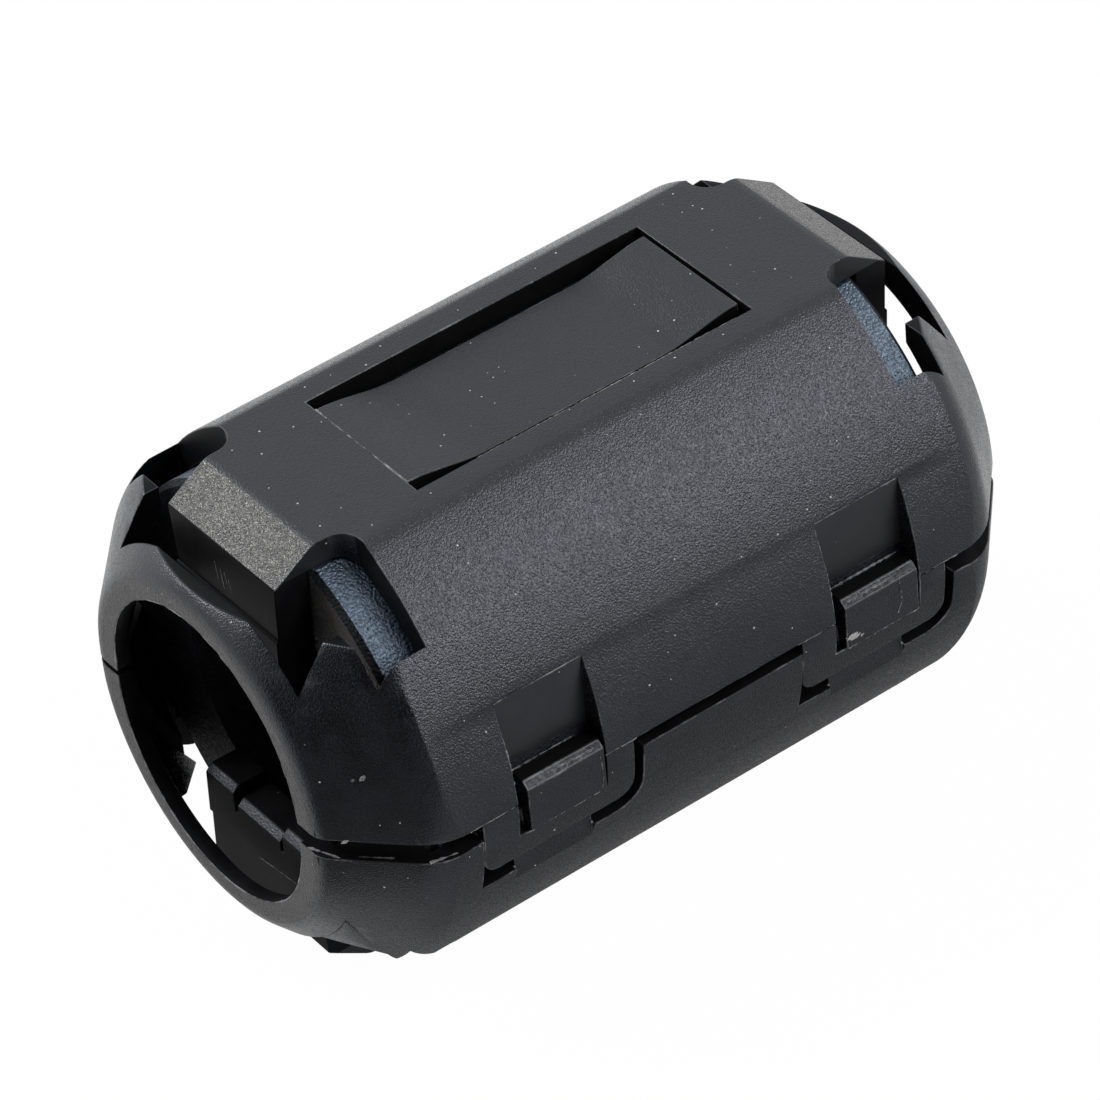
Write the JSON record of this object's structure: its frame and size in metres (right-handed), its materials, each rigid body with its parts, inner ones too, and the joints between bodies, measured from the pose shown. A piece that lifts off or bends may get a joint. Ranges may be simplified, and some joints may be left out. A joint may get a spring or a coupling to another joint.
{
  "type": "clip-on ferrite bead",
  "caption": "Hinged plastic snap case holding a split ferrite sleeve, closed round a cable by side latches to damp high-frequency noise.",
  "frame": {"origin": "centre of the ferrite's cable bore, on the parting plane between the two shells", "axes": "+X along the cable, +Y towards the hinge straps (the latches are at -Y), +Z from the lower shell to the upper shell"},
  "size_m": [0.0358, 0.0245, 0.0222],
  "materials": {
    "shell": "fine spark texture, moulded nylon, black",
    "ferrite": "bare sintered ferrite, dark blue-grey"
  },
  "bodies": {
    "base": {"lower_shell": "shell", "ferrite_lower": "ferrite", "hinge_strap_left": "shell", "hinge_strap_right": "shell"},
    "cover": {"upper_shell": "shell", "ferrite_upper": "ferrite"}
  },
  "joints": [
    {"name": "cover_hinge", "type": "hinge", "parent": "base", "child": "cover", "pos_m": [0, 0.01309, 0], "axis": [-1, 0, 0], "range_deg": [0, 180], "deforming": ["hinge_strap_left", "hinge_strap_right"]}
  ]
}
